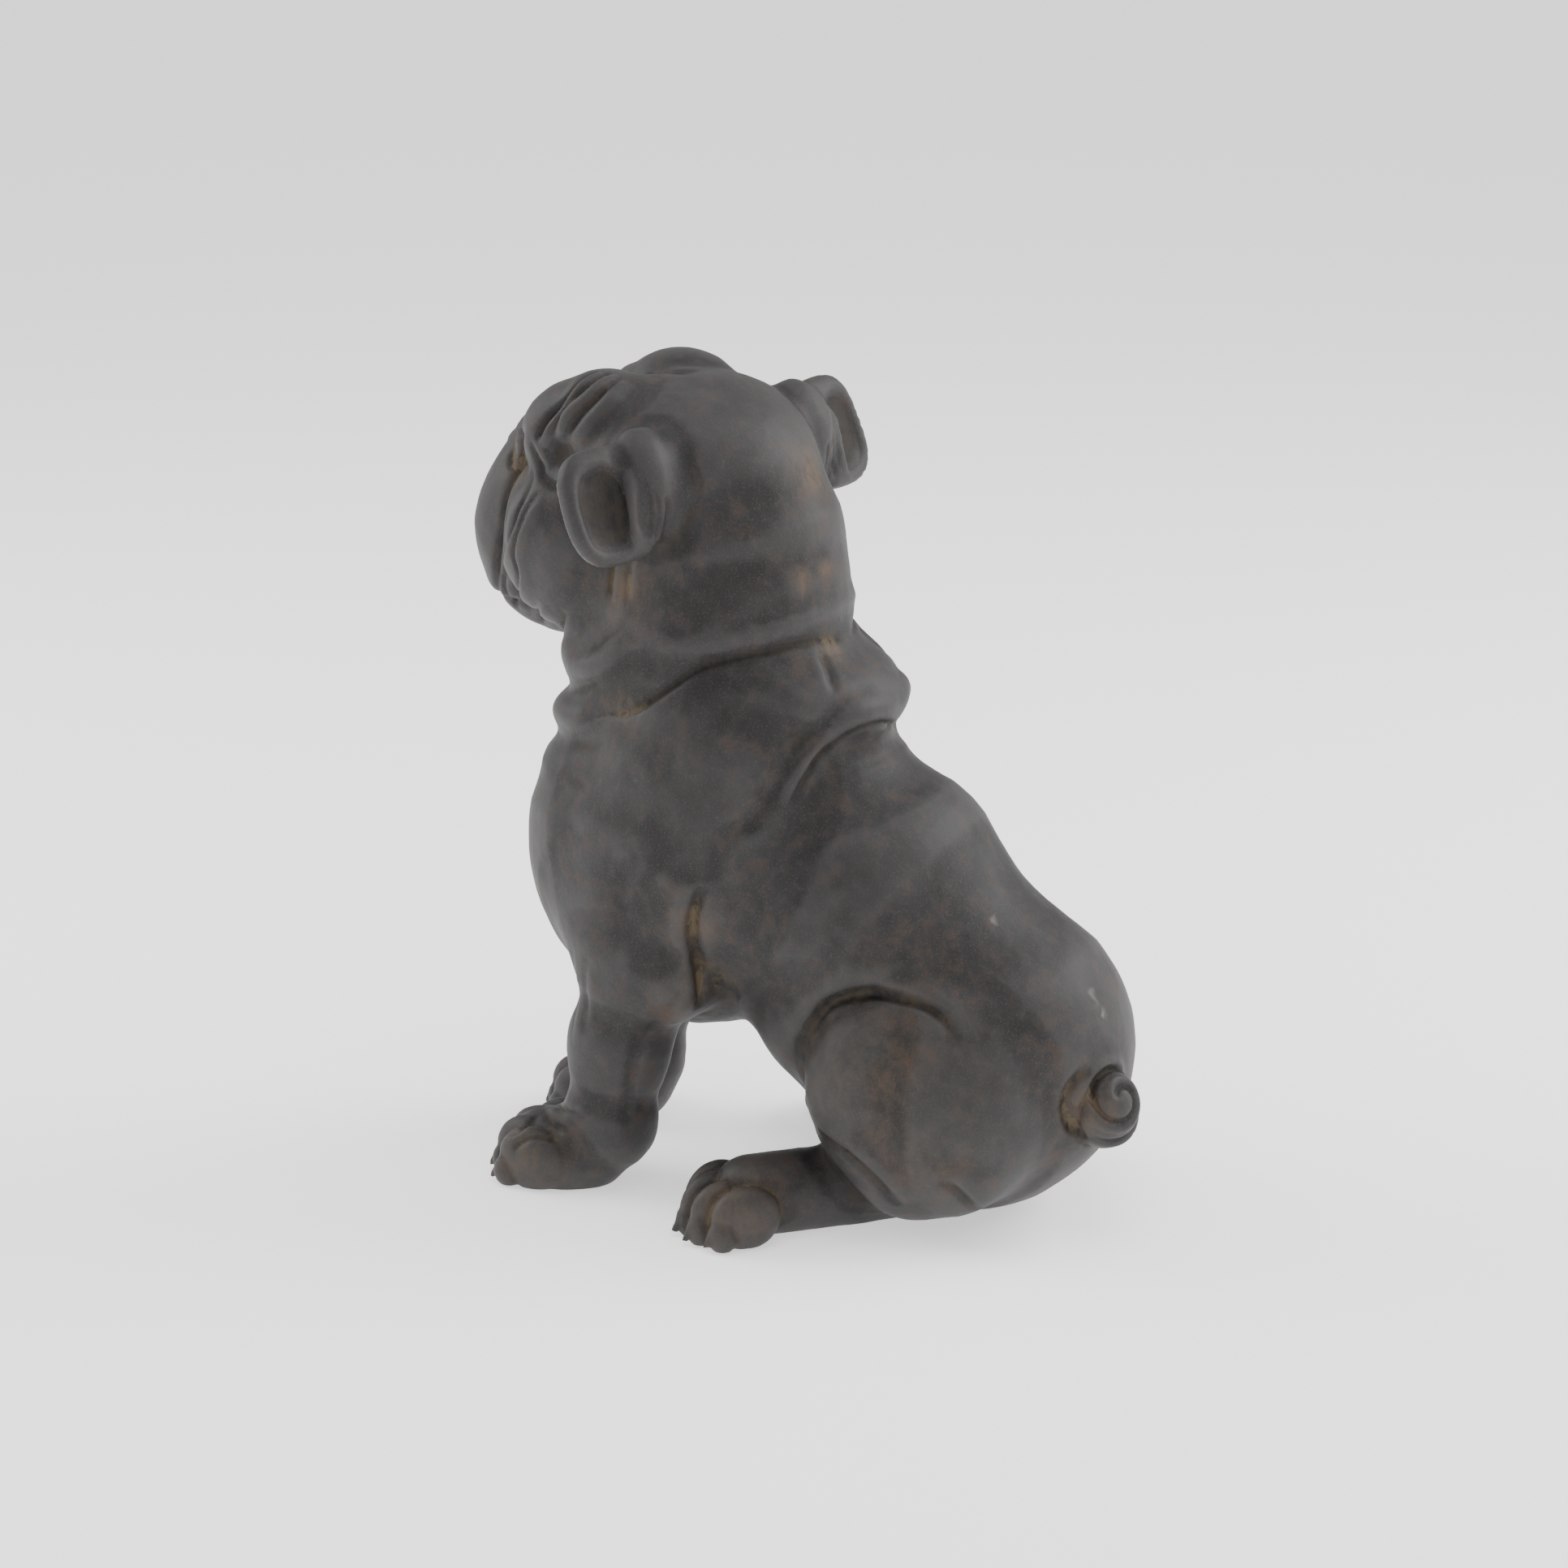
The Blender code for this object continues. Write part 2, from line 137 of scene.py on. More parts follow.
# Middles of the paint's spots and chips, in the same pixels.
FOREPAW_SPOT = (640, 1430)
HIND_PAW_SPOT = (905, 1480)
THIGH_SPOT = (1080, 1330)
SHANK_SPOT = (1140, 1430)
TAIL_ROOT_SPOT = (1336, 1368)
TAIL_CURL_SPOT = (1365, 1360)
ARMPIT_SPOT = (857, 1140)
ARMPIT_FOOT_SPOT = (862, 1212)
NECK_KNOT_SPOT = (1025, 800)
NAPE_FRONT_SPOT = (990, 715)
NAPE_REAR_SPOT = (1020, 700)
FAR_EAR_SPOT = (1002, 580)
NEAR_EAR_SPOT = (770, 722)
MUZZLE_SPOT = (640, 570)
NECK_CREASE_SPOT = (770, 878)
ELBOW_SPOT = (835, 1250)
BACK_CHIP = (1226, 1135)
RUMP_CHIP_UPPER = (1347, 1224)
RUMP_CHIP_MIDDLE = (1355, 1238)
RUMP_CHIP_LOWER = (1362, 1251)


class Side(Enum):
    """The two sides of the dog."""

    LEFT = 1.0
    RIGHT = -1.0


def turn_matrix(degrees: Place) -> Array:
    """Rotation of turns about X, Y and Z.

    Args:
        degrees: the three turns in degrees.

    Returns:
        The rotation as a 3 by 3 array.
    """
    return np.array(Euler(np.radians(degrees), "XYZ").to_matrix())


def turn_angles(matrix: Array) -> Place:
    """Turns about X, Y and Z in degrees of a rotation.

    Args:
        matrix: the rotation as a 3 by 3 array.

    Returns:
        The three turns in degrees.
    """
    return tuple(np.degrees(np.array(Matrix(matrix.tolist()).to_euler("XYZ"))))


@dataclass(frozen=True)
class Carrier:
    """A part of the body that turns as a whole, such as the head."""

    pivot: Place
    turn: Place = (0.0, 0.0, 0.0)

    def place(self, point: Place) -> Place:
        """Where a point of the carried part comes to lie."""
        return tuple(turn_matrix(self.turn) @ np.array(point) + np.array(self.pivot))


@dataclass(frozen=True)
class Lump:
    """An egg-shaped mass, or one with squarer sides where its power is above 2."""

    centre: Place
    radii: Place
    turn: Place = (0.0, 0.0, 0.0)
    blend: float = 3.0
    hollow: bool = False
    power: float = 2.0

    def reach(self, points: Array) -> tuple[Array, Array]:
        """Distance of points from the egg's surface, and the direction in which it grows.

        Args:
            points: places as rows of three.

        Returns:
            The distances, and one direction for each of them.
        """
        spin = turn_matrix(self.turn)
        share = (points - np.array(self.centre)) @ spin / np.array(self.radii)
        size = np.maximum(np.abs(share), 1e-4)
        near = np.sum(size**self.power, axis=1) ** (1.0 / self.power)
        pull = np.sign(share) * (size / near[:, None]) ** (self.power - 1.0) / np.array(self.radii)
        slope = np.maximum(np.linalg.norm(pull, axis=1), 1e-6)
        return (near - 1.0) / slope, (pull / slope[:, None]) @ spin.T

    def carried(self, by: Carrier) -> Lump:
        """The same mass on a part of the body that turns as a whole."""
        turned = turn_angles(turn_matrix(by.turn) @ turn_matrix(self.turn))
        return replace(self, centre=by.place(self.centre), turn=turned)

    def mirrored(self) -> Lump:
        """The same mass on the dog's other side."""
        x, y, z = self.centre
        tilt, lean, yaw = self.turn
        return replace(self, centre=(-x, y, z), turn=(tilt, -lean, -yaw))

    def add(self) -> None:
        """Add the mass to the scene as an icosphere."""
        bpy.ops.mesh.primitive_ico_sphere_add(
            subdivisions=3, radius=HUNDREDTH, scale=self.radii,
            location=Vector(self.centre) * HUNDREDTH, rotation=np.radians(self.turn))


@dataclass(frozen=True)
class Limb:
    """A tapered round mass between two points."""

    start: Place
    end: Place
    start_radius: float
    end_radius: float
    blend: float = 3.0
    hollow: bool = False

    def reach(self, points: Array) -> tuple[Array, Array]:
        """Distance of points from the limb's surface, and the direction in which it grows.

        Args:
            points: places as rows of three.

        Returns:
            The distances, and one direction for each of them.
        """
        start = np.array(self.start)
        along = np.array(self.end) - start
        share = np.clip((points - start) @ along / (along @ along), 0.0, 1.0)
        radius = self.start_radius + (self.end_radius - self.start_radius) * share
        across = points - start - share[:, None] * along
        away = np.maximum(np.linalg.norm(across, axis=1), 1e-6)
        return away - radius, across / away[:, None]

    def carried(self, by: Carrier) -> Limb:
        """The same limb on a part of the body that turns as a whole."""
        return replace(self, start=by.place(self.start), end=by.place(self.end))

    def mirrored(self) -> Limb:
        """The same limb on the dog's other side."""
        start = (-self.start[0], self.start[1], self.start[2])
        end = (-self.end[0], self.end[1], self.end[2])
        return replace(self, start=start, end=end)

    def add(self) -> None:
        """Add the limb to the scene as a cone with a ball at each end."""
        start, end = Vector(self.start), Vector(self.end)
        along = end - start
        facing = along.to_track_quat("Z", "Y").to_euler()
        bpy.ops.mesh.primitive_cone_add(
            vertices=32, radius1=self.start_radius * HUNDREDTH,
            radius2=self.end_radius * HUNDREDTH, depth=along.length * HUNDREDTH,
            location=(start + end) * 0.5 * HUNDREDTH, rotation=facing)
        for centre, radius in ((self.start, self.start_radius), (self.end, self.end_radius)):
            Lump(centre, (radius, radius, radius)).add()


Mass = Lump | Limb


@dataclass(frozen=True)
class Fold:
    """A crease along a curve, with a roll of skin that leans over it from one side.

    The roll lies to the left of the curve's way, seen from outside, and to the right where the
    side is -1. Where the depth is negative, the fold is a raised ridge.
    """

    points: tuple[Place, ...]
    depth: float
    width: float
    roll: float = 0.0
    roll_width: float = 1.6
    side: float = 1.0
    fade: float = 0.15

    def carried(self, by: Carrier) -> Fold:
        """The same fold on a part of the body that turns as a whole."""
        return replace(self, points=tuple(by.place(point) for point in self.points))

    def mirrored(self) -> Fold:
        """The same fold on the dog's other side."""
        points = tuple((-x, y, z) for x, y, z in self.points)
        return replace(self, points=points, side=-self.side)

    def path(self, steps: int = 8) -> Array:
        """A smooth curve through the fold's points."""
        knots = np.array(self.points, dtype=float)
        padded = np.vstack([2 * knots[0] - knots[1], knots, 2 * knots[-1] - knots[-2]])
        curve = []
        for before, first, second, after in zip(padded, padded[1:], padded[2:], padded[3:]):
            for share in np.linspace(0.0, 1.0, steps, endpoint=False):
                bend = 2 * before - 5 * first + 4 * second - after
                twist = 3 * first - before - 3 * second + after
                curve.append(0.5 * (2 * first + (second - before) * share
                                    + bend * share**2 + twist * share**3))
        curve.append(knots[-1])
        return np.array(curve)

    def relief(self, places: Array, normals: Array, form: Form) -> Array:
        """How far the fold lifts the skin at the given places.

        Args:
            places: places on the skin as rows of three.
            normals: the skin's outward direction at each place.
            form: the bare form that the fold's curve is laid on.

        Returns:
            The lift of each place, negative in a crease.
        """
        curve = form.settle(self.path())
        reach = 3.5 * max(self.width, self.roll_width if self.roll else 0.0)
        low, high = curve.min(axis=0) - reach, curve.max(axis=0) + reach
        close = np.nonzero(np.all((places > low) & (places < high), axis=1))[0]
        lift = np.zeros(len(places))
        if len(close) == 0:
            return lift
        spots, facing = places[close], normals[close]
        away = np.full(len(close), np.inf)
        share = np.zeros(len(close))
        left = np.zeros(len(close))
        count = len(curve) - 1
        for index, (start, end) in enumerate(zip(curve, curve[1:])):
            along = end - start
            part = np.clip((spots - start) @ along / max(along @ along, 1e-9), 0.0, 1.0)
            offset = spots - start - part[:, None] * along
            gap = np.linalg.norm(offset, axis=1)
            nearer = gap < away
            across = np.sum(np.cross(facing, along) * offset, axis=1)
            away = np.where(nearer, gap, away)
            share = np.where(nearer, (index + part) / count, share)
            left = np.where(nearer, across, left)
        swell = away / self.roll_width
        bulge = self.roll * swell * np.exp(0.5 * (1.0 - swell**2)) * (left * self.side > 0.0)
        profile = bulge - self.depth * np.exp(-((away / self.width) ** 2))
        ends = np.clip(np.minimum(share, 1.0 - share) / self.fade, 0.0, 1.0)
        lift[close] = profile * ends**0.7
        return lift


@dataclass
class Form:
    """All masses of a figure, run together into one form."""

    masses: list[Mass]

    def reach(self, points: Array) -> tuple[Array, Array]:
        """Distance of points from the form, and the direction in which it grows.

        Args:
            points: places as rows of three.

        Returns:
            The distances, and one direction for each of them.
        """
        total, slope = self.masses[0].reach(points)
        for mass in self.masses[1:]:
            other, lean = mass.reach(points)
            side = -1.0 if mass.hollow else 1.0
            other, lean = other * side, lean * side
            share = np.clip(0.5 + 0.5 * side * (other - total) / mass.blend, 0.0, 1.0)
            swell = side * mass.blend * share * (1.0 - share)
            total = other + (total - other) * share - 0.5 * swell
            slope = lean + (slope - lean) * share[:, None]
        return total, slope

    def settle(self, places: Array, rounds: int = 6) -> Array:
        """Move places onto the form's surface.

        Args:
            places: places as rows of three.
            rounds: how many times the places are moved.

        Returns:
            The places on the surface.
        """
        for _ in range(rounds):
            away, slope = self.reach(places)
            length = np.maximum(np.sum(slope**2, axis=1), 0.08)
            step = np.clip(away / length, -1.5, 1.5)
            places = places - step[:, None] * slope
        return places


@dataclass
class Sight:
    """The camera's sight on the form, which turns the photograph's pixels into places on it."""

    form: Form
    eye: Array
    back: Array
    lens: float
    marches: int = 40

    def places(self, pixels: tuple[Pixel, ...]) -> Array:
        """Where the rays through pixels of the photograph meet the form.

        Args:
            pixels: places in the photograph.

        Returns:
            One place on the form for each pixel, or the nearest one where a ray just misses.
        """
        right = np.cross((0.0, 0.0, 1.0), self.back)
        right /= np.linalg.norm(right)
        up = np.cross(self.back, right)
        offset = np.array(pixels, dtype=float) - PHOTO_SIZE / 2.0
        offset *= SENSOR_WIDTH / (self.lens * PHOTO_SIZE)
        rays = offset[:, :1] * right - offset[:, 1:] * up - self.back
        rays /= np.linalg.norm(rays, axis=1)[:, None]
        travelled = np.zeros(len(rays))
        nearest, best = np.full(len(rays), np.inf), travelled
        for _ in range(self.marches):
            gap, _ = self.form.reach(self.eye + travelled[:, None] * rays)
            closer = np.abs(gap) < nearest
            nearest = np.where(closer, np.abs(gap), nearest)
            best = np.where(closer, travelled, best)
            travelled = travelled + 0.7 * gap
        return self.form.settle(self.eye + best[:, None] * rays)

    def fold(self, pixels: tuple[Pixel, ...], depth: float, width: float, roll: float = 0.0,
             roll_width: float = 1.6, side: float = 1.0, fade: float = 0.15) -> Fold:
        """A fold along a line that is drawn in the photograph."""
        points = tuple(tuple(place) for place in self.places(pixels))
        return Fold(points, depth, width, roll, roll_width, side, fade)


@dataclass
class Torso:
    """Chest, barrel, rump and belly, and the creases over the withers."""

    chest: Place = (19.5, 22.3, 22.5)
    barrel: Place = (19.0, 17.3, 21.5)
    rump: Place = (19.5, 20.0, 19.5)
    belly: Place = (17.5, 13.5, 13.0)

    def masses(self) -> list[Mass]:
        """The masses of the body."""
        return [
            Lump((0, -9.2, 40.5), self.chest, (0, 0, 0), 3),
            Lump((0, 11, 35), self.barrel, (38, 0, 0), 10),
            Lump((0, 23.5, 19), self.rump, (10, 0, 0), 8),
            Lump((0, -4, 56), (17, 17.5, 11.5), (0, 0, 0), 8),
            Lump((0, 11, 25), self.belly, (0, 0, 0), 4),
        ]

    def folds(self, sight: Sight) -> list[Fold]:
        """The creases behind the shoulders, on both sides."""
        left = [
            sight.fold(WITHERS_ROLL, 0.28, 1.1, 0.32, 1.9, 1.0, 0.35),
            sight.fold(WITHERS_CREASE, 0.5, 0.45, 0.55, 1.5, -1.0, 0.3),
            sight.fold(WITHERS_CREASE, -0.18, 1.4, fade=0.3),
        ]
        return left + [fold.mirrored() for fold in left]


@dataclass
class Neck:
    """The thick neck with its rolls of skin."""

    thickness: float = 17.0

    def masses(self) -> list[Mass]:
        """The neck and the rolls round the throat and the nape."""
        return [
            Limb((0, -7.5, 60), (0, -8, 77), self.thickness, 15, 6),
            Lump((0, -13.6, 52.4), (14.8, 15.4, 5.2), (8, 0, 0), 4),
            Lump((0, -14, 58), (14.6, 14.6, 5.0), (8, 0, 0), 4),
            Lump((0, -13.2, 64), (14, 14.4, 5.6), (4, 0, 0), 4),
            Lump((0, -0.6, 61.8), (15, 15.4, 6.4), (-8, 0, 0), 4),
        ]

    def folds(self, sight: Sight) -> list[Fold]:
        """The creases between the rolls."""
        left = [
            sight.fold(NECK_CREASE, 0.55, 0.5, 0.32, 2.2, 1.0, 0.3),
            sight.fold(NECK_ROLL, 0.22, 1.2, fade=0.4),
            sight.fold(THROAT_UPPER, 0.25, 0.8, 0.25, 1.8, 1.0, 0.4),
            sight.fold(THROAT_LOWER, 0.25, 0.8, 0.25, 1.8, 1.0, 0.4),
            sight.fold(NECK_KNOT, 0.35, 0.6, 0.2, 1.2, -1.0, 0.3),
            Fold(((15, -6, 76), (16, -6, 71), (16, -7, 66)), 0.3, 2.0, fade=0.4),
        ]
        return left + [fold.mirrored() for fold in left]


@dataclass
class Foreleg:
    """A foreleg with its shoulder and paw, and the creases on them."""

    side: Side
    leg_step: Place = (1.5, -5.9, 0.0)
    paw_step: Place = (1.5, -3.0, 0.0)
    toe_places: tuple[tuple[float, float], ...] = (
        (-5.2, -1.6), (-1.8, 0.0), (1.8, 0.0), (5.2, -1.8))

    def masses(self) -> list[Mass]:
        """Shoulder, upper arm, foreleg, paw and toes."""
        leg: list[Mass] = [
            Lump((13, -6, 46), (8, 12, 16), (-10, 0, 0), 6),
            Lump((13, -13, 32), (6.5, 9, 11), (10, 0, 0), 5),
            Lump((13, -7.5, 27.5), (6, 4.5, 5), (0, 0, 0), 3),
            Limb((12, -12.5, 29), (12, -16, 18), 7.2, 5.9, 4),
            Limb((12, -16, 18), (12, -17.5, 7.5), 5.9, 5.4, 4),
            Limb((12, -17.5, 7.5), (12, -20.5, 4), 5.4, 5.4, 3),
        ]
        paw: list[Mass] = [Lump((12, -24, 3.2), (7.0, 7.2, 5.2), (0, 0, 0), 3)]
        for across, reach in self.toe_places:
            paw += self.toe(across, reach)
        if self.side is Side.LEFT:
            return leg + paw
        return ([mass.mirrored().carried(Carrier(self.leg_step)) for mass in leg]
                + [mass.mirrored().carried(Carrier(self.paw_step)) for mass in paw])

    @staticmethod
    def toe(across: float, reach: float) -> list[Mass]:
        """One toe of the forepaw: its knuckle, its tip and its claw."""
        x, y = 12 + across, -27.2 - reach
        return [
            Lump((x, y, 3.6), (2.3, 4.4, 4.0), (0, 0, -across), 0.7),
            Lump((x, y - 3.1, 1.7), (1.9, 1.9, 2.2), (0, 0, -across), 0.5),
            Limb((x, y - 4.2, 2.2), (x, y - 5.3, 0.7), 0.75, 0.35, 0.3),
        ]

    def folds(self, sight: Sight) -> list[Fold]:
        """Creases of the armpit, the shoulder, the tendons and the wrist."""
        leg = [
            sight.fold(ARMPIT, 0.8, 0.7, 0.45, 1.5, -1.0, 0.2),
            sight.fold(SHOULDER_FRONT, 0.2, 0.8, 0.1, 1.4, 1.0, 0.4),
            sight.fold(SHOULDER_REAR, 0.15, 0.8, 0.1, 1.2, 1.0, 0.4),
            sight.fold(ELBOW_LINE, 0.28, 1.1, 0.15, 1.4, 1.0, 0.3),
            sight.fold(TENDON_FRONT, 0.14, 0.6, 0.08, 0.9, 1.0, 0.35),
            sight.fold(TENDON_REAR, 0.14, 0.7, 0.08, 0.9, 1.0, 0.35),
            sight.fold(WRIST_LOWER, 0.28, 0.4, 0.2, 0.8, 1.0, 0.3),
            sight.fold(WRIST_UPPER, 0.2, 0.4, 0.15, 0.8, 1.0, 0.3),
            sight.fold(TOE_LINE_FRONT, 0.45, 0.5, fade=0.3),
            sight.fold(TOE_LINE_REAR, 0.45, 0.5, fade=0.3),
        ]
        if self.side is Side.LEFT:
            return leg
        return [fold.mirrored().carried(Carrier(self.leg_step)) for fold in leg]


@dataclass
class HindLeg:
    """A folded hind leg: thigh, knee, shank, and a foot splayed outwards with four toes."""

    side: Side
    heel: Place = (6.4, 17.5, 3.6)
    splay: float = 45.0
    toe_places: tuple[tuple[float, float], ...] = (
        (-4.8, -1.8), (-1.6, 0.0), (1.6, 0.0), (4.5, -1.4))

    def masses(self) -> list[Mass]:
        """Thigh, knee, shank, foot and toes."""
        foot: list[Mass] = [Limb((0, 0, 0), (0, -19, 0.6), 5.2, 4.8, 3)]
        for across, reach in self.toe_places:
            foot += self.toe(across, -23.0 - reach)
        masses: list[Mass] = [
            Lump((13.5, 23, 16), (8.5, 14, 14), (0, 0, 0), 4),
            Lump((15.5, 17, 20.5), (7.0, 7.0, 9.0), (-25, 0, 0), 2.0),
            Limb((16, 17, 17), (12, 21, 7), 6.6, 5.5, 3),
        ]
        masses += [mass.carried(Carrier(self.heel, (0, 0, self.splay))) for mass in foot]
        return masses if self.side is Side.LEFT else [mass.mirrored() for mass in masses]

    @staticmethod
    def toe(x: float, y: float) -> list[Mass]:
        """One toe of the hind foot: its knuckle, its tip and its claw."""
        return [
            Lump((x, y, -0.2), (2.15, 4.2, 3.8), (0, 0, -x), 0.7),
            Lump((x, y - 2.9, -1.9), (1.8, 1.8, 2.2), (0, 0, -x), 0.5),
            Limb((x, y - 3.9, -1.4), (x, y - 5.0, -2.9), 0.75, 0.35, 0.3),
        ]

    def folds(self, sight: Sight) -> list[Fold]:
        """The arc over the knee, the line down to the foot, and the crease at the base."""
        left = [
            sight.fold(KNEE_ARC, 0.75, 0.6, 0.4, 1.6, 1.0, 0.2),
            sight.fold(SHANK_LINE, 0.5, 0.9, 0.3, 1.5, 1.0, 0.3),
            sight.fold(BASE_LINE, 0.4, 0.6, 0.25, 1.2, 1.0, 0.3),
        ]
        return left if self.side is Side.LEFT else [fold.mirrored() for fold in left]


@dataclass
class Tail:
    """The short tail, curled up like a snail against the rump."""

    centre: Place = (5.5, 42.2, 15.5)
    facing: Place = (0.45, 0.70, 0.55)
    turns: float = 1.9
    spiral_steps: int = 24
    spiral_start: float = 8.0
    spiral_spread: float = 74.0
    spiral_radius: float = 4.4

    def masses(self) -> list[Mass]:
        """The ball of the curl and its root."""
        return [
            Lump(self.centre, (4.5, 4.1, 4.7), (0, 0, 0), 0.8),
            Lump((1.5, 39.5, 14.0), (4.5, 4.0, 4.0), (0, 0, 0), 2.0),
        ]

    def folds(self, sight: Sight) -> list[Fold]:
        """The groove of the spiral, and the hollow between the curl and the rump."""
        facing = np.array(self.facing) / np.linalg.norm(self.facing)
        across = np.cross(facing, (0.0, 0.0, 1.0))
        across /= np.linalg.norm(across)
        upward = np.cross(across, facing)
        spiral = []
        for share in np.linspace(0.0, 1.0, self.spiral_steps):
            around = 2.0 * math.pi * self.turns * share
            spread = math.radians(self.spiral_start + self.spiral_spread * share)
            ring = math.cos(around) * across + math.sin(around) * upward
            place = math.sin(spread) * ring + math.cos(spread) * facing
            spiral.append(tuple(np.array(self.centre) + self.spiral_radius * place))
        return [
            Fold(tuple(spiral), 0.55, 0.42, 0.3, 0.8, 1.0, 0.1),
            sight.fold(TAIL_RIM, 0.7, 0.7, 0.25, 1.4, 1.0, 0.2),
        ]


@dataclass
class Head:
    """The head, turned a little to the dog's right: skull, brows, cheeks, muzzle and ears.

    Its masses are placed from the head's pivot, and it faces -Y before it is turned.
    """

    carrier: Carrier = Carrier((0.0, -11.0, 84.0), (0.0, 4.0, -18.0))

    def masses(self) -> list[Mass]:
        """All masses of the head, set on the neck."""
        middle: list[Mass] = [
            Lump((0, -0.8, 2.5), (15, 15.2, 10.5), (0, 0, 0), 4),
            Lump((0, -19, -3.4), (10.5, 9.3, 11), (0, 0, 0), 4),
            Lump((0, -17, -15.6), (9, 11, 5.6), (0, 0, 0), 2.5),
            Lump((0, -25.6, 1.2), (4.2, 2.6, 2.8), (0, 0, 0), 0.8),
        ]
        left: list[Mass] = [
            Lump((6.2, -6.8, 7.2), (6.8, 8.5, 6.5), (0, 0, 0), 1.6),
            Lump((7, -12.5, 6), (6.5, 5.3, 5.8), (0, 0, 0), 2.0),
            Lump((9.6, -10.5, -7), (7.2, 9.6, 10.3), (0, 0, 0), 5),
            Lump((5.5, -21.2, -8), (6, 8, 10.2), (0, 0, 0), 3),
            Lump((7.5, -18.2, 3.6), (2.6, 2.2, 2.2), (0, 0, 0), 0.5),
        ] + self.ear()
        return [mass.carried(self.carrier)
                for mass in middle + left + [mass.mirrored() for mass in left]]

    @staticmethod
    def ear() -> list[Mass]:
        """The left ear: its root, the flap that stands out and the dish in it."""
        return [
            Lump((13.5, 4.6, 3.0), (5.0, 4.2, 6.8), (10, 0, 0), 2.5),
            Lump((19.6, 4.3, 2.1), (6.2, 1.9, 6.7), (20, 0, -8), 1.4, power=3.0),
            Lump((21.9, 6.3, 1.9), (3.3, 1.6, 5.8), (20, 0, -8), 1.0, True, 2.6),
        ]

    def folds(self, sight: Sight) -> list[Fold]:
        """Wrinkles of the forehead and cheeks, the lines of the face and those of the ears."""
        left = self.face_lines() + self.ear_lines()
        far = [fold.mirrored() for fold in self.cheek_lines() + left]
        turned = [fold.carried(self.carrier) for fold in self.middle_lines() + left + far]
        return turned + self.near_lines(sight)

    @staticmethod
    def middle_lines() -> list[Fold]:
        """The furrow down the forehead and the wrinkles across the bridge of the nose."""
        return [
            Fold(((0, 1, 13.2), (0, -5, 13.4), (0, -11, 12.5), (0, -16, 9)), 0.8, 1.0, fade=0.25),
            Fold(((-5.5, -20.3, 4.6), (-2.5, -21.8, 5.8), (0, -22.2, 6.0), (2.5, -21.8, 5.8),
                  (5.5, -20.3, 4.6)), 0.5, 0.5, 0.3, 1.0, 1.0, 0.25),
            Fold(((-5.5, -22.5, 2.4), (-2.5, -24.2, 4.2), (0, -24.6, 4.4), (2.5, -24.2, 4.2),
                  (5.5, -22.5, 2.4)), 0.45, 0.45, 0.2, 0.9, 1.0, 0.25),
            Fold(((0, -28.2, 0.5), (0, -28.6, -3), (0, -29, -7), (0, -28.5, -11)), 0.8, 0.5,
                 fade=0.15),
        ]

    @staticmethod
    def face_lines() -> list[Fold]:
        """The left eye's lids, the nostril, the mouth and the crease under the eye."""
        return [
            Fold(((4.9, -19.6, 4.0), (6.2, -20.3, 5.3), (8.0, -20.0, 5.5), (10.0, -18.6, 4.4)),
                 -0.55, 0.5, fade=0.3),
            Fold(((6.9, -20.4, 3.7), (8.1, -20.1, 3.7)), 0.35, 0.55, fade=0.5),
            Fold(((4.9, -19.8, 3.2), (6.3, -20.5, 2.1), (8.2, -20.2, 2.0), (10.0, -18.8, 3.0)),
                 -0.45, 0.5, fade=0.3),
            Fold(((5.0, -20.3, 2.2), (7.6, -20.6, 0.3), (10.6, -18.6, 1.4)), 0.4, 0.5, fade=0.3),
            Fold(((0.9, -28.2, 1.6), (2.0, -27.9, 0.7), (3.2, -27.0, 1.4)), 0.8, 0.55, fade=0.25),
            Fold(((0.3, -28.3, -2), (0.5, -29, -6), (1.5, -29, -9.5), (4, -28, -12.5),
                  (7, -26, -14.8), (10, -22.5, -16), (11.5, -17.5, -15.5)), 0.7, 0.6, 0.2, 1.2,
                 1.0, 0.2),
        ]

    @staticmethod
    def ear_lines() -> list[Fold]:
        """The ridge and the fine grooves inside the left ear, and the wrinkles beneath it."""
        grooves = [
            Fold(((16.8 - step, 7.5, 5.0 - step), (16.5 - step, 8.2, 1.0), (16.8 - step, 8.4, -2.8)),
                 0.34, 0.38, fade=0.3)
            for step in (0.0, 1.1, 2.2)]
        wrinkles = [
            Fold(((across, reach, -5.5), (across + 0.2, reach - 0.3, -11.0)), 0.28, 0.45, 0.12, 0.8,
                 1.0, 0.3)
            for across, reach in ((12.3, -0.5), (14.6, -0.5), (15.2, 2.5))]
        ridge = Fold(((18.0, 6.0, 6.6), (18.3, 6.6, 3.0), (18.9, 7.2, -2.0)), -0.7, 0.8, fade=0.35)
        return [ridge] + grooves + wrinkles

    @staticmethod
    def cheek_lines() -> list[Fold]:
        """The plainer wrinkles of the far forehead and cheek, given for the left side."""
        return [
            Fold(((4.8, -11.5, 12), (7, -14.5, 9.2), (6.5, -17.5, 6.5)), 0.35, 0.7, fade=0.35),
            Fold(((9.3, -11, 10), (10, -14, 7), (9, -16.5, 5.5)), 0.35, 0.7, fade=0.35),
            Fold(((8.5, -19.5, 4.2), (9.8, -20.3, 0.5), (10.3, -21.5, -4), (10.5, -22.5, -9),
                  (9.8, -23.5, -13), (8.5, -23.5, -16)), 0.8, 0.85, 0.3, 1.5, 1.0, 0.2),
            Fold(((11.5, -18, 0), (13.5, -17.5, -4.5), (13.2, -18.2, -9.5), (11, -20, -14)),
                 0.3, 0.5, 0.22, 0.9, 1.0, 0.25),
        ]

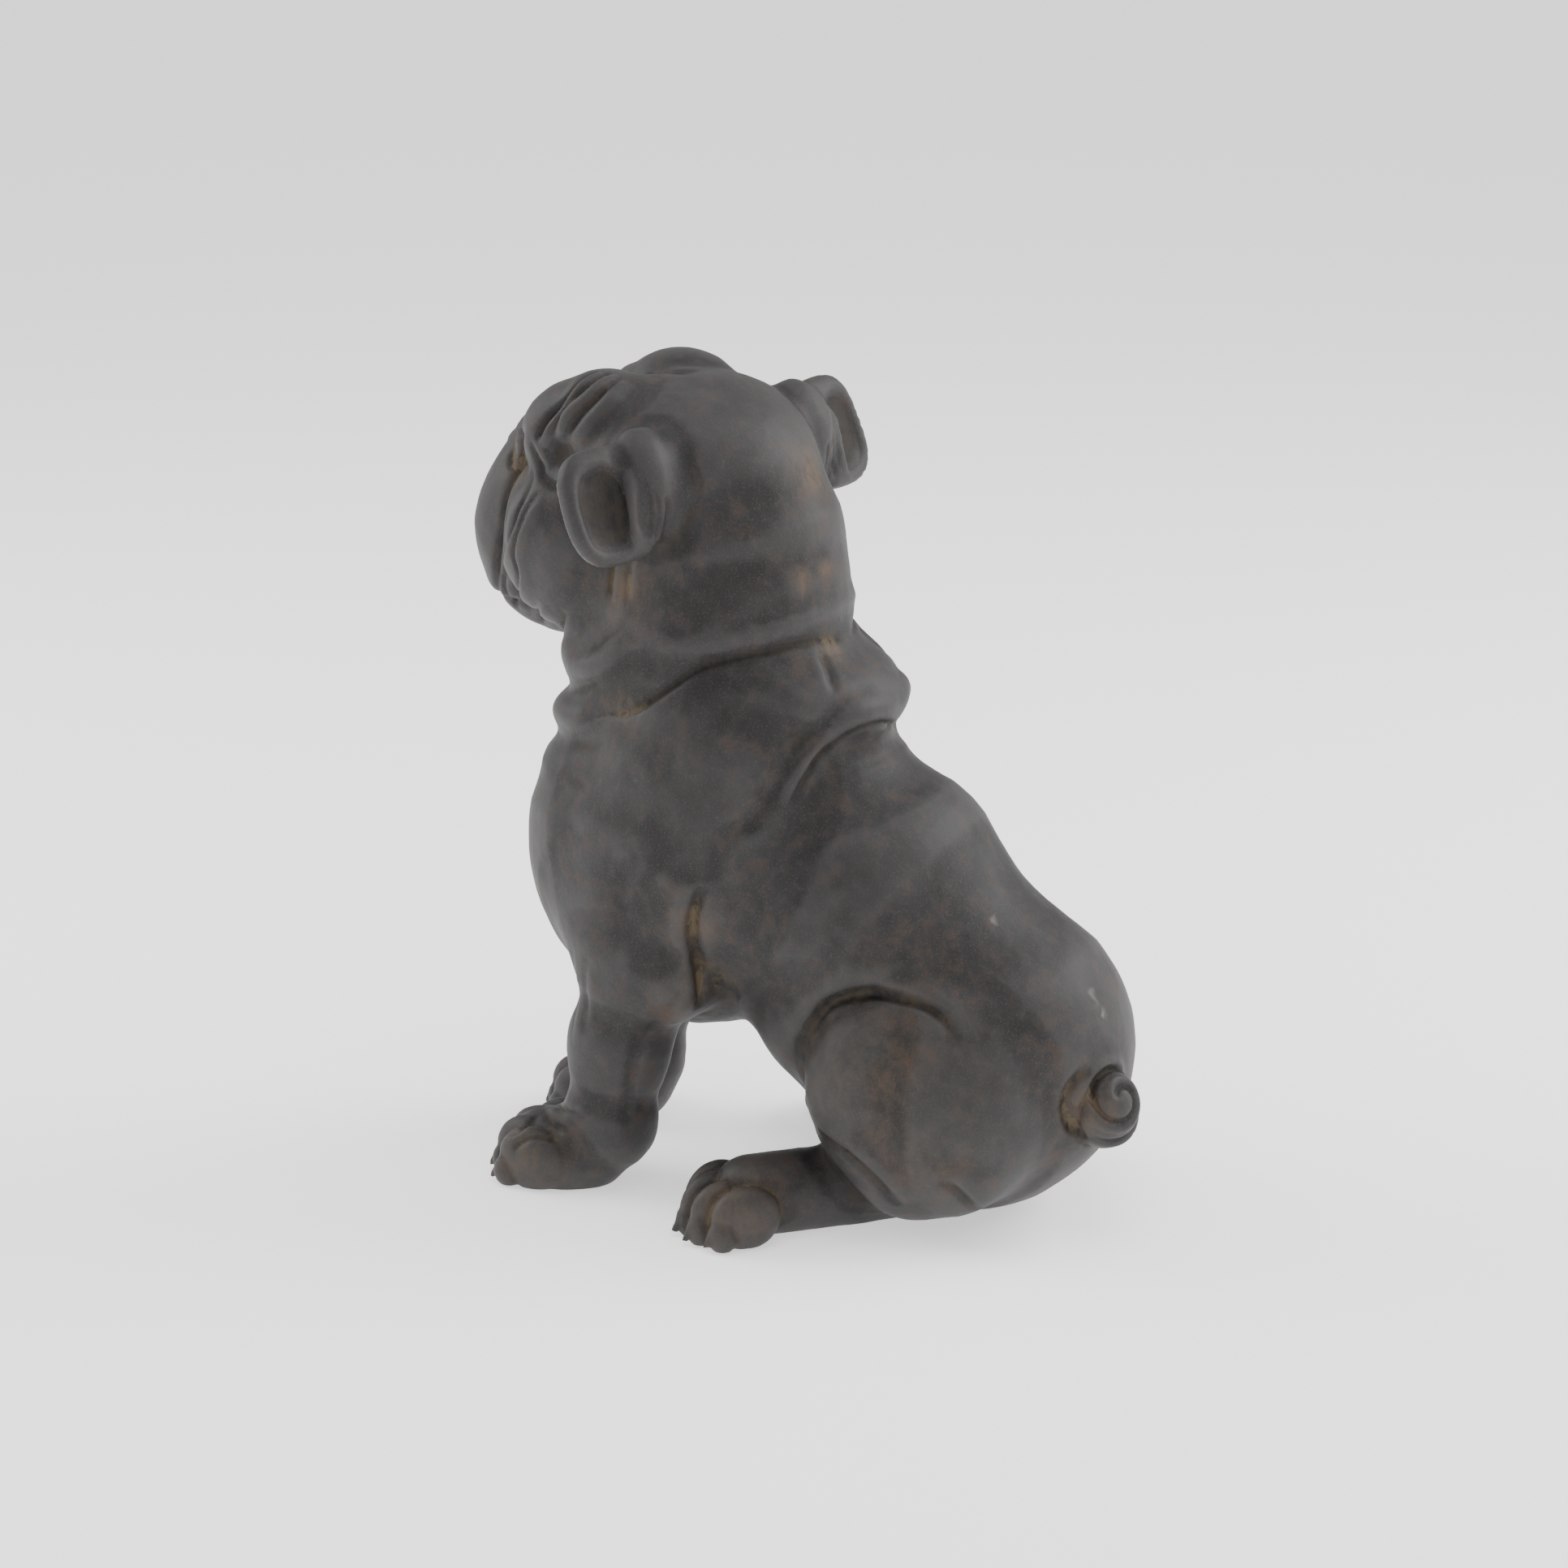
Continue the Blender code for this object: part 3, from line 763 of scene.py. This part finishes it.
    @staticmethod
    def near_lines(sight: Sight) -> list[Fold]:
        """Wrinkles of the side of the head that the photograph shows."""
        return [
            sight.fold(FOREHEAD_FRONT, 0.7, 0.5, 0.7, 1.3, 1.0, 0.2),
            sight.fold(FOREHEAD_MIDDLE, 0.7, 0.5, 0.65, 1.3, 1.0, 0.2),
            sight.fold(FOREHEAD_REAR, 0.55, 0.5, 0.6, 1.4, 1.0, 0.25),
            sight.fold(BROW_EDGE, 0.5, 0.6, 0.3, 1.1, 1.0, 0.25),
            sight.fold(MUZZLE_GROOVE, 0.75, 0.7, 0.4, 1.3, 1.0, 0.25),
            sight.fold(CHEEK_FRONT, 0.55, 0.55, 0.4, 1.2, 1.0, 0.25),
            sight.fold(CHEEK_REAR, 0.4, 0.4, 0.35, 1.0, 1.0, 0.25),
            sight.fold(CHIN_FRONT, 0.5, 0.45, 0.3, 1.0, 1.0, 0.3),
            sight.fold(CHIN_REAR, 0.4, 0.45, 0.3, 1.0, 1.0, 0.3),
        ]


class Socket:
    """A value or a colour in a material, with the arithmetic that shader maths needs."""

    def __init__(self, nodes: Nodes, output: bpy.types.NodeSocket | None) -> None:
        """Wrap one output socket of a material's nodes."""
        self.nodes = nodes
        self.output = output

    def math(self, operation: str, *others: Socket | float) -> Socket:
        """A Math node of this value and others."""
        values = {index + 1: other for index, other in enumerate(others)}
        return self.nodes.add("ShaderNodeMath", {"operation": operation}, {0: self, **values})

    def __add__(self, other: Socket | float) -> Socket:
        """Sum."""
        return self.math("ADD", other)

    __radd__ = __add__

    def __mul__(self, other: Socket | float) -> Socket:
        """Product."""
        return self.math("MULTIPLY", other)

    __rmul__ = __mul__

    def __rsub__(self, other: float) -> Socket:
        """Difference from a number."""
        return self.nodes.add("ShaderNodeMath", {"operation": "SUBTRACT"}, {0: other, 1: self})

    def clamped(self) -> Socket:
        """The value kept between 0 and 1."""
        return self.nodes.add("ShaderNodeClamp", {}, {"Value": self})

    def ramp(self, low: float, high: float) -> Socket:
        """The value's way from low to high as 0 to 1, soft at both ends."""
        settings = {"interpolation_type": "SMOOTHSTEP"}
        return self.nodes.add("ShaderNodeMapRange", settings,
                              {"Value": self, "From Min": low, "From Max": high})


class Nodes:
    """The nodes of one material."""

    def __init__(self, name: str) -> None:
        """Start a material with an empty node tree."""
        self.material = bpy.data.materials.new(name)
        self.material.use_nodes = True
        self.tree = self.material.node_tree
        self.tree.nodes.clear()

    def add(self, kind: str, settings: dict[str, object], inputs: dict[object, object],
            output: int | str = 0) -> Socket:
        """Add a node.

        Args:
            kind: the node's type.
            settings: its own settings, set first.
            inputs: values or links for its input sockets, by name or index.
            output: which output is wanted.

        Returns:
            The wanted output.
        """
        node = self.tree.nodes.new(kind)
        for name, value in settings.items():
            setattr(node, name, value)
        for name, value in inputs.items():
            if isinstance(value, Socket):
                self.tree.links.new(value.output, node.inputs[name])
            else:
                node.inputs[name].default_value = value
        return Socket(self, node.outputs[output] if node.outputs else None)

    def mix(self, share: Socket | float, first: object, second: object) -> Socket:
        """A colour between two colours."""
        settings = {"data_type": "RGBA", "clamp_factor": True}
        return self.add("ShaderNodeMix", settings, {0: share, 6: first, 7: second}, 2)

    def noise(self, at: Socket, scale: float, detail: float, roughness: float = 0.5,
              distortion: float = 0.0) -> Socket:
        """Cloudy noise at a scale, from 0 to 1."""
        values = {"Vector": at, "Scale": scale, "Detail": detail, "Roughness": roughness,
                  "Distortion": distortion}
        return self.add("ShaderNodeTexNoise", {}, values, "Fac")

    def attribute(self, name: str) -> Socket:
        """A value that the mesh carries on its skin."""
        return self.add("ShaderNodeAttribute", {"attribute_name": name}, {}, "Fac")

    def stretched(self, at: Socket, scale: Place) -> Socket:
        """Coordinates stretched along the axes."""
        return self.add("ShaderNodeMapping", {}, {"Vector": at, "Scale": scale}, 0)


@dataclass(frozen=True)
class CastFinish:
    """Dark bronze-like paint on the casting, with ochre left in its creases, painted shade darkening
    those creases and a painted highlight on raised ridges.
    """

    charcoal: tuple[float, ...] = (0.0180, 0.0168, 0.0163, 1.0)
    slate: tuple[float, ...] = (0.0325, 0.0310, 0.0310, 1.0)
    umber: tuple[float, ...] = (0.056, 0.034, 0.026, 1.0)
    ochre: tuple[float, ...] = (0.122, 0.090, 0.050, 1.0)
    # pale grey: random flecks over the skin, and a painted highlight on raised ridges
    pale_fleck_and_highlight: tuple[float, ...] = (0.072, 0.070, 0.069, 1.0)
    shade: tuple[float, ...] = (0.013, 0.012, 0.0115, 1.0)
    bare: tuple[float, ...] = (0.17, 0.16, 0.15, 1.0)

    def material(self) -> bpy.types.Material:
        """Build the finish.

        Returns:
            The material.
        """
        nodes = Nodes("dark_cast")
        at = nodes.add("ShaderNodeTexCoord", {}, {}, "Object")
        hollow = nodes.attribute("hollow")
        rub = nodes.attribute("rub")
        chip = nodes.attribute("chip")
        clouds = nodes.noise(at, 24.0, 5.0, 0.62)
        patches = nodes.noise(at, 95.0, 6.0, 0.68, 0.4)
        streaks = nodes.noise(nodes.stretched(at, (1.0, 1.0, 0.3)), 190.0, 5.0, 0.65)
        grain = nodes.noise(at, 900.0, 3.0, 0.6)
        base = nodes.mix((clouds * 0.7 + patches * 0.3).ramp(0.38, 0.64), self.charcoal, self.slate)
        brown = (patches.ramp(0.49, 0.64) * 0.5 + streaks.ramp(0.50, 0.68) * 0.3 + rub * 0.5).clamped()
        base = nodes.mix(brown * clouds.ramp(0.32, 0.62), base, self.umber)
        base = nodes.mix(grain.ramp(0.52, 0.70) * 0.35, base, self.pale_fleck_and_highlight)
        crease = hollow.ramp(0.22, 0.85)
        # where the skin stands out: the mask for the painted highlight on ridges below
        ridge = (0.0 - hollow).ramp(0.15, 0.8)
        # painted shade: creases darkened towards the shade colour
        base = nodes.mix(crease * 0.7, base, self.shade)
        speckle = (patches * 0.6 + streaks * 0.5).ramp(0.42, 0.62)
        gold = (crease * 0.15 + rub * (0.3 + crease)) * speckle
        base = nodes.mix(gold.clamped() * 0.62, base, self.ochre)
        # painted highlight: raised ridges lightened towards the pale grey
        base = nodes.mix(ridge * 0.35, base, self.pale_fleck_and_highlight)
        base = nodes.mix(chip.clamped(), base, self.bare)
        rough = (0.46 + patches * 0.16 + crease * 0.15 + grain * 0.05).clamped()
        height = clouds * 0.5 + patches * 0.35 + streaks * 0.25 + grain * 0.08
        bump = nodes.add("ShaderNodeBump", {}, {"Strength": 0.35, "Distance": 0.0016,
                                                "Height": height})
        shader = nodes.add("ShaderNodeBsdfPrincipled", {}, {
            "Base Color": base, "Roughness": rough, "Normal": bump, "Metallic": 0.0,
            "IOR": 1.45, "Specular IOR Level": 0.3})
        nodes.add("ShaderNodeOutputMaterial", {}, {"Surface": shader})
        return nodes.material


@dataclass(frozen=True)
class RubPatch:
    """A spot on the skin: its pixel in the photograph, its radius and its strength."""

    pixel: Pixel
    radius: float
    strength: float = 1.0


@dataclass
class Statue:
    """The whole casting as one closed mesh."""

    grid: float = 0.0020
    triangles: int = 190000
    swell_scale: float = 0.16
    swell_height: float = 0.13
    dent_scale: float = 0.9
    dent_height: float = 0.02
    smoothing_rounds: int = 24
    hollow_depth: float = 0.30
    parts: list[object] = field(default_factory=lambda: [
        Torso(), Neck(), Foreleg(Side.LEFT), Foreleg(Side.RIGHT), HindLeg(Side.LEFT),
        HindLeg(Side.RIGHT), Tail(), Head()])
    rubs: tuple[RubPatch, ...] = (
        RubPatch(FOREPAW_SPOT, 4.5, 1.3), RubPatch(HIND_PAW_SPOT, 6.0, 1.3),
        RubPatch(THIGH_SPOT, 8.5, 0.8), RubPatch(SHANK_SPOT, 4.5, 0.8),
        RubPatch(TAIL_ROOT_SPOT, 3.0, 1.8), RubPatch(TAIL_CURL_SPOT, 1.4, 1.6),
        RubPatch(ARMPIT_SPOT, 2.4, 1.5), RubPatch(ARMPIT_FOOT_SPOT, 3.0, 1.2),
        RubPatch(NECK_KNOT_SPOT, 1.5, 2.6), RubPatch(NAPE_FRONT_SPOT, 1.2, 2.8),
        RubPatch(NAPE_REAR_SPOT, 1.1, 2.8), RubPatch(FAR_EAR_SPOT, 3.0, 2.6),
        RubPatch(NEAR_EAR_SPOT, 2.8, 1.8), RubPatch(MUZZLE_SPOT, 2.6, 1.7),
        RubPatch(NECK_CREASE_SPOT, 2.6, 1.2), RubPatch(ELBOW_SPOT, 2.5, 0.9))
    chips: tuple[RubPatch, ...] = (
        RubPatch(BACK_CHIP, 0.25), RubPatch(RUMP_CHIP_UPPER, 0.28), RubPatch(RUMP_CHIP_MIDDLE, 0.25),
        RubPatch(RUMP_CHIP_LOWER, 0.28))

    def build(self, cad_box: tuple[Place, Place]) -> bpy.types.Object:
        """Model and dress the casting.

        Args:
            cad_box: the low and high corner of the solid that it stands for.

        Returns:
            The finished piece.
        """
        masses = [mass for part in self.parts for mass in part.masses()]
        piece = self.clay([mass for mass in masses if not mass.hollow])
        places = self.corners(piece)
        form = Form(sorted(masses, key=lambda mass: mass.hollow))
        places = form.settle(places)
        sight = self.sight(form, places)
        folds = [fold for part in self.parts for fold in part.folds(sight)]
        _, normals = form.reach(places)
        normals /= np.maximum(np.linalg.norm(normals, axis=1), 1e-9)[:, None]
        lift = np.zeros(len(places))
        for fold in folds:
            lift += fold.relief(places, normals, form)
        lift += self.hand_work(places)
        self.set_corners(piece, places + lift[:, None] * normals)
        self.thin(piece)
        self.cut_flat(piece)
        self.paint_values(piece, sight)
        self.stand_in(piece, cad_box)
        piece.data.shade_smooth()
        piece.data.materials.clear()
        piece.data.materials.append(CastFinish().material())
        return piece

    @staticmethod
    def sight(form: Form, places: Array) -> Sight:
        """The studio camera's sight, in hundredths of the height and in the form's own frame."""
        studio = Studio()
        back = np.array(studio.direction(studio.azimuth, studio.elevation))
        middle = 0.5 * (places.min(axis=0) + places.max(axis=0))
        middle[2] = 0.0
        eye = (np.array(studio.aim) + back * studio.distance) / HUNDREDTH + middle
        return Sight(form, eye, back, studio.lens)

    def hand_work(self, places: Array) -> Array:
        """The slight unevenness that a modeller's hands leave, in hundredths of the height."""
        uneven = np.array([noise.fractal(Vector(place) * self.swell_scale, 1.0, 2.0, 2)
                           for place in places])
        fine = np.array([noise.noise(Vector(place) * self.dent_scale) for place in places])
        return self.swell_height * uneven + self.dent_height * fine

    def clay(self, masses: list[Mass]) -> bpy.types.Object:
        """Set up the masses and run them together into one skin."""
        bpy.ops.object.select_all(action="DESELECT")
        added = []
        for mass in masses:
            before = set(bpy.data.objects)
            mass.add()
            added += [thing for thing in bpy.data.objects if thing not in before]
        for thing in added:
            thing.select_set(True)
        bpy.context.view_layer.objects.active = added[0]
        bpy.ops.object.join()
        bpy.ops.object.transform_apply(location=True, rotation=True, scale=True)
        piece = bpy.context.object
        piece.name = "bulldog_casting"
        piece.data.name = "bulldog_casting"
        skin = piece.modifiers.new("skin", "REMESH")
        skin.mode = "VOXEL"
        skin.voxel_size = self.grid
        bpy.ops.object.modifier_apply(modifier=skin.name)
        return piece

    @staticmethod
    def corners(piece: bpy.types.Object) -> Array:
        """The mesh's vertices in hundredths of the height."""
        flat = np.empty(len(piece.data.vertices) * 3, dtype=np.float32)
        piece.data.vertices.foreach_get("co", flat)
        return flat.reshape(-1, 3).astype(float) / HUNDREDTH

    @staticmethod
    def set_corners(piece: bpy.types.Object, places: Array) -> None:
        """Move the mesh's vertices to places in hundredths of the height."""
        piece.data.vertices.foreach_set("co", (places * HUNDREDTH).astype(np.float32).ravel())
        piece.data.update()

    def thin(self, piece: bpy.types.Object) -> None:
        """Keep the mesh within its number of triangles."""
        count = 2 * len(piece.data.polygons)
        if count > self.triangles:
            thinning = piece.modifiers.new("thinning", "DECIMATE")
            thinning.ratio = self.triangles / count
            bpy.ops.object.modifier_apply(modifier=thinning.name)

    @staticmethod
    def cut_flat(piece: bpy.types.Object) -> None:
        """Cut the underside flat on the ground."""
        bpy.ops.object.mode_set(mode="EDIT")
        bpy.ops.mesh.select_all(action="SELECT")
        bpy.ops.mesh.bisect(plane_co=(0, 0, 0), plane_no=(0, 0, 1), use_fill=False,
                            clear_inner=True)
        bpy.ops.mesh.select_all(action="SELECT")
        bpy.ops.mesh.fill_holes(sides=0)
        bpy.ops.mesh.select_all(action="SELECT")
        bpy.ops.mesh.quads_convert_to_tris()
        bpy.ops.mesh.normals_make_consistent(inside=False)
        bpy.ops.object.mode_set(mode="OBJECT")

    def paint_values(self, piece: bpy.types.Object, sight: Sight) -> None:
        """Give the skin its values for hollows, rubbed places and chips."""
        mesh = piece.data
        places = self.corners(piece)
        edges = np.empty(len(mesh.edges) * 2, dtype=np.int32)
        mesh.edges.foreach_get("vertices", edges)
        first, second = edges.reshape(-1, 2).T
        normals = np.empty(len(mesh.vertices) * 3, dtype=np.float32)
        mesh.vertices.foreach_get("normal", normals)
        normals = normals.reshape(-1, 3)
        counts = np.bincount(first, minlength=len(places)) + np.bincount(
            second, minlength=len(places))
        smooth = places.copy()
        for _ in range(self.smoothing_rounds):
            total = np.zeros_like(smooth)
            for axis in range(3):
                total[:, axis] = np.bincount(first, smooth[second, axis], len(places))
                total[:, axis] += np.bincount(second, smooth[first, axis], len(places))
            smooth = 0.3 * smooth + 0.7 * total / np.maximum(counts, 1)[:, None]
        sunk = np.sum((smooth - places) * normals, axis=1)
        hollow = np.clip(sunk / self.hollow_depth, -1.0, 1.0)
        self.set_value(piece, "hollow", hollow)
        for name, patches in (("rub", self.rubs), ("chip", self.chips)):
            value = np.zeros(len(places))
            centres = sight.places(tuple(patch.pixel for patch in patches))
            for patch, centre in zip(patches, centres):
                away = np.linalg.norm(places - centre, axis=1) / patch.radius
                value = np.maximum(value, patch.strength * np.exp(-(away**2)))
            self.set_value(piece, name, value)

    @staticmethod
    def set_value(piece: bpy.types.Object, name: str, values: Array) -> None:
        """Store one value for each vertex."""
        layer = piece.data.attributes.new(name, "FLOAT", "POINT")
        layer.data.foreach_set("value", values.astype(np.float32))

    @staticmethod
    def stand_in(piece: bpy.types.Object, box: tuple[Place, Place]) -> None:
        """Move the piece to the solid's place, no larger than the solid's box."""
        flat = np.empty(len(piece.data.vertices) * 3, dtype=np.float32)
        piece.data.vertices.foreach_get("co", flat)
        places = flat.reshape(-1, 3).astype(float)
        low, high = places.min(axis=0), places.max(axis=0)
        want_low, want_high = np.array(box[0]), np.array(box[1])
        middle = 0.5 * (low + high)
        middle[2] = low[2]
        target = 0.5 * (want_low + want_high)
        target[2] = want_low[2]
        share = np.minimum((want_high - want_low) / (high - low), 1.0)
        LOG.info("casting: scaled by %.4f, %.4f and %.4f to the solid's box", *share)
        places = (places - middle) * share + target
        piece.data.vertices.foreach_set("co", places.astype(np.float32).ravel())
        piece.data.update()


@dataclass
class Studio:
    """The floor, the lights and the camera."""

    azimuth: float = 112.0
    elevation: float = 16.0
    distance: float = 2.31
    lens: float = 90.0
    aim: Place = (0.0, -0.0136, 0.2418)

    def build(self) -> None:
        """Set up the whole studio."""
        self.floor()
        self.lights()
        self.camera()

    def floor(self) -> None:
        """A wide pale floor."""
        bpy.ops.mesh.primitive_plane_add(size=60.0, location=(0, 0, -0.0005))
        floor = bpy.context.object
        floor.name = "studio_floor"
        nodes = Nodes("studio_floor")
        shader = nodes.add("ShaderNodeBsdfPrincipled", {}, {
            "Base Color": (0.95, 0.95, 0.95, 1.0), "Roughness": 1.0, "Specular IOR Level": 0.0,
            "Emission Color": (1.0, 1.0, 1.0, 1.0), "Emission Strength": 0.8})
        nodes.add("ShaderNodeOutputMaterial", {}, {"Surface": shader})
        floor.data.materials.append(nodes.material)
        floor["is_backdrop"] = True
        world = bpy.data.worlds.new("studio_air")
        world.use_nodes = True
        background = world.node_tree.nodes["Background"]
        background.inputs["Color"].default_value = (1.0, 1.0, 1.0, 1.0)
        background.inputs["Strength"].default_value = 0.75
        bpy.context.scene.world = world

    def lights(self) -> None:
        """Large soft lights above and at both sides."""
        for name, azimuth, elevation, size, power in (
                ("light_left", 5.0, 30.0, 1.6, 34.0),
                ("light_right", 215.0, 32.0, 1.6, 52.0),
                ("light_top", 150.0, 80.0, 1.8, 22.0)):
            back = self.direction(azimuth, elevation)
            place = Vector((0.0, 0.0, 0.25)) + back * 2.4
            bpy.ops.object.light_add(type="AREA", location=place)
            lamp = bpy.context.object
            lamp.name = name
            lamp.data.shape = "DISK"
            lamp.data.size = size
            lamp.data.energy = power
            lamp.rotation_euler = back.to_track_quat("Z", "Y").to_euler()

    def camera(self) -> None:
        """The camera at the photograph's angle."""
        back = self.direction(self.azimuth, self.elevation)
        bpy.ops.object.camera_add(location=Vector(self.aim) + back * self.distance)
        camera = bpy.context.object
        camera.name = "photo_camera"
        camera.rotation_euler = back.to_track_quat("Z", "Y").to_euler()
        camera.data.lens = self.lens
        camera.data.sensor_width = SENSOR_WIDTH
        bpy.context.scene.camera = camera

    @staticmethod
    def direction(azimuth: float, elevation: float) -> Vector:
        """The direction from the statue to a place seen at an azimuth and an elevation."""
        turn, rise = math.radians(azimuth), math.radians(elevation)
        return Vector((math.sin(turn) * math.cos(rise), -math.cos(turn) * math.cos(rise),
                       math.sin(rise)))


def main() -> None:
    """Build the statue and its studio in order."""
    logging.basicConfig(level=logging.INFO, format="%(name)s: %(message)s")
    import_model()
    cad_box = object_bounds()
    piece = Statue().build(cad_box)
    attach(piece, "root")
    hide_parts("bulldog")
    LOG.info("casting: %d triangles", len(piece.data.polygons))
    Studio().build()
    LOG.info("studio: floor, lights and camera")


if __name__ == "__main__":
    main()
